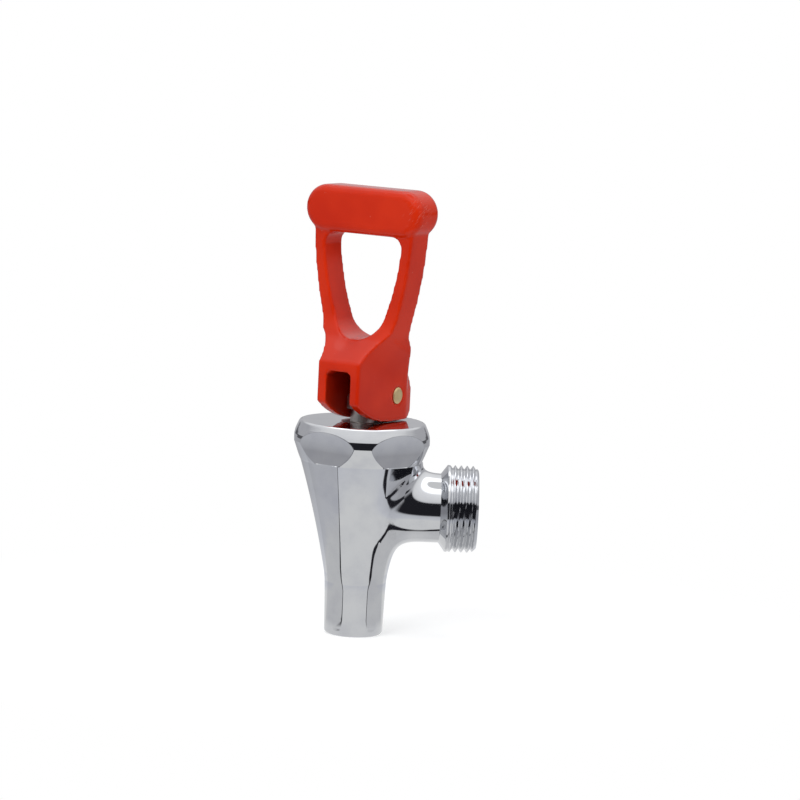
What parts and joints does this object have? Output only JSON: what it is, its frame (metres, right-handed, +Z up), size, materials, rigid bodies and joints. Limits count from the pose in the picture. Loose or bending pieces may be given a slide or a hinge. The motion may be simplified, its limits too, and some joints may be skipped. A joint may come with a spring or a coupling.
{
  "type": "water boiler tap",
  "caption": "Chromed water boiler tap with a hexagonal bonnet, tapering faceted body, threaded inlet tail and a red loop lever whose cam lifts a self-closing valve stem",
  "frame": {"origin": "on the inlet tail's axis, at the shoulder where its thread begins", "axes": "+Z up along the nozzle and stem, +Y along the inlet tail into the boiler"},
  "size_m": [0.0416, 0.0557, 0.1365],
  "materials": {
    "chromed_brass": "polished chrome plate on cast brass",
    "steel": "turned steel",
    "spring_steel": "drawn wire and pressed clip",
    "brass": "plain turned brass",
    "black_rubber": "moulded rubber",
    "silicone": "moulded silicone",
    "red_plastic": "glossy moulded plastic"
  },
  "bodies": {
    "housing": {"tap_body": "chromed_brass", "bonnet": "chromed_brass", "bonnet_gasket": "black_rubber"},
    "swivel": {"guide_bush": "steel", "bush_seal": "black_rubber", "stem_seal": "black_rubber", "spring_washer": "steel"},
    "spindle": {"stem": "steel", "spring_collar": "steel", "collar_clip": "spring_steel", "return_spring": "spring_steel", "seat_cup": "silicone", "seat_washer": "steel", "seat_screw": "steel"},
    "lever": {"handle": "red_plastic", "hinge_pin": "brass"}
  },
  "joints": [
    {"name": "handle_swivel", "type": "hinge", "parent": "housing", "child": "swivel", "pos_m": [0, -0.0266, 0.0257], "axis": [0, 0, 1], "continuous": true},
    {"name": "stem_lift", "type": "slide", "parent": "swivel", "child": "spindle", "axis": [0, 0, 1], "range_m": [0, 0.0062], "deforming": ["return_spring"]},
    {"name": "handle_tilt", "type": "hinge", "parent": "spindle", "child": "lever", "pos_m": [-0.00606, -0.02236, 0.0337], "axis": [0.5736, 0.8192, 0], "range_deg": [0, 35], "stiffness_Nm_per_rad": 0.1151, "springref_deg": -35.1}
  ],
  "couplings": [
    {"joint": "stem_lift", "follows": "handle_tilt", "m_per_rad": 0.009794}
  ]
}
